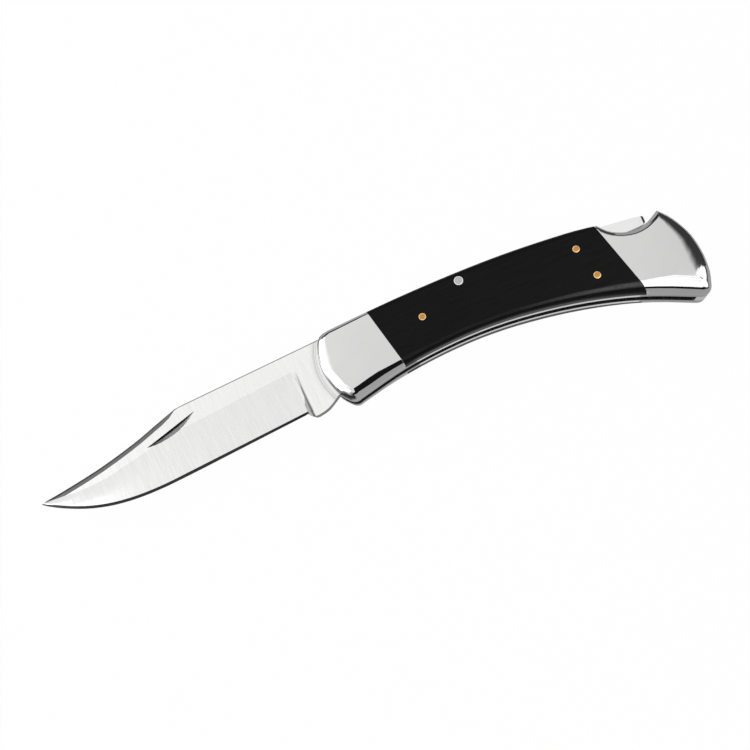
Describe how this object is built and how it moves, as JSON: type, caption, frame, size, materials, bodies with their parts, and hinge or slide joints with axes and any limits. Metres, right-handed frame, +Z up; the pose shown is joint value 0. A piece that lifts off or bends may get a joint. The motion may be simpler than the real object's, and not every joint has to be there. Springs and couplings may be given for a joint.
{
  "type": "folding pocket knife",
  "caption": "Folding lockback knife with a clip-point blade, polished bolsters, black wood scales, a rocking lock bar in the spine and a thumb notch at the butt.",
  "frame": {"origin": "the blade's pivot axis on the flat right side of the handle, the face that the knife lies on", "axes": "+X from the pivot to the butt, +Y to the spine side, +Z up through the handle's thickness; the open blade points to -X"},
  "size_m": [0.2182, 0.0332, 0.0148],
  "materials": {
    "blade_steel": "fine cross-brushed stainless steel, nearly white",
    "bolster_polish": "mirror-polished stainless steel",
    "black_wood": "black-stained hardwood, satin",
    "liner_steel": "ground and polished edges",
    "spring_steel": "polished, with fine marks",
    "pin_steel": "ground flush",
    "dark_steel": "plain spring steel",
    "pin_brass": "ground flush, bright",
    "bushing_bronze": "plain bronze"
  },
  "bodies": {
    "handle": {"blade_pivot_pin": "dark_steel", "pivot_bushing": "bushing_bronze", "lock_bar_pin": "pin_steel", "butt_block": "spring_steel", "butt_rivet_upper": "dark_steel", "butt_rivet_lower": "dark_steel", "liner_right": "liner_steel", "front_bolster_right": "bolster_polish", "rear_bolster_right": "bolster_polish", "scale_right": "black_wood", "scale_pin_front_right": "pin_brass", "scale_pin_rear_upper_right": "pin_brass", "scale_pin_rear_lower_right": "pin_brass", "liner_left": "liner_steel", "front_bolster_left": "bolster_polish", "rear_bolster_left": "bolster_polish", "scale_left": "black_wood", "scale_pin_front_left": "pin_brass", "scale_pin_rear_upper_left": "pin_brass", "scale_pin_rear_lower_left": "pin_brass"},
    "blade": {"blade": "blade_steel"},
    "lock_bar": {"lock_bar": "spring_steel"},
    "lock_spring": {"lock_spring": "dark_steel"}
  },
  "joints": [
    {"name": "blade_fold", "type": "hinge", "parent": "handle", "child": "blade", "pos_m": [0, 0, 0.0074], "axis": [0, 0, 1], "range_deg": [0, 173]},
    {"name": "lock_bar_rock", "type": "hinge", "parent": "handle", "child": "lock_bar", "pos_m": [0.0401, 0.0122, 0.0074], "axis": [0, 0, -1], "range_deg": [-1.35, 1.5], "stiffness_Nm_per_rad": 1},
    {"name": "lock_spring_flex", "type": "hinge", "parent": "handle", "child": "lock_spring", "pos_m": [0.1028, 0.00675, 0.0074], "axis": [0, 0, 1], "range_deg": [-2.9, 3.2]}
  ],
  "couplings": [
    {"joint": "lock_spring_flex", "follows": "lock_bar_rock", "ratio": 2.124}
  ]
}
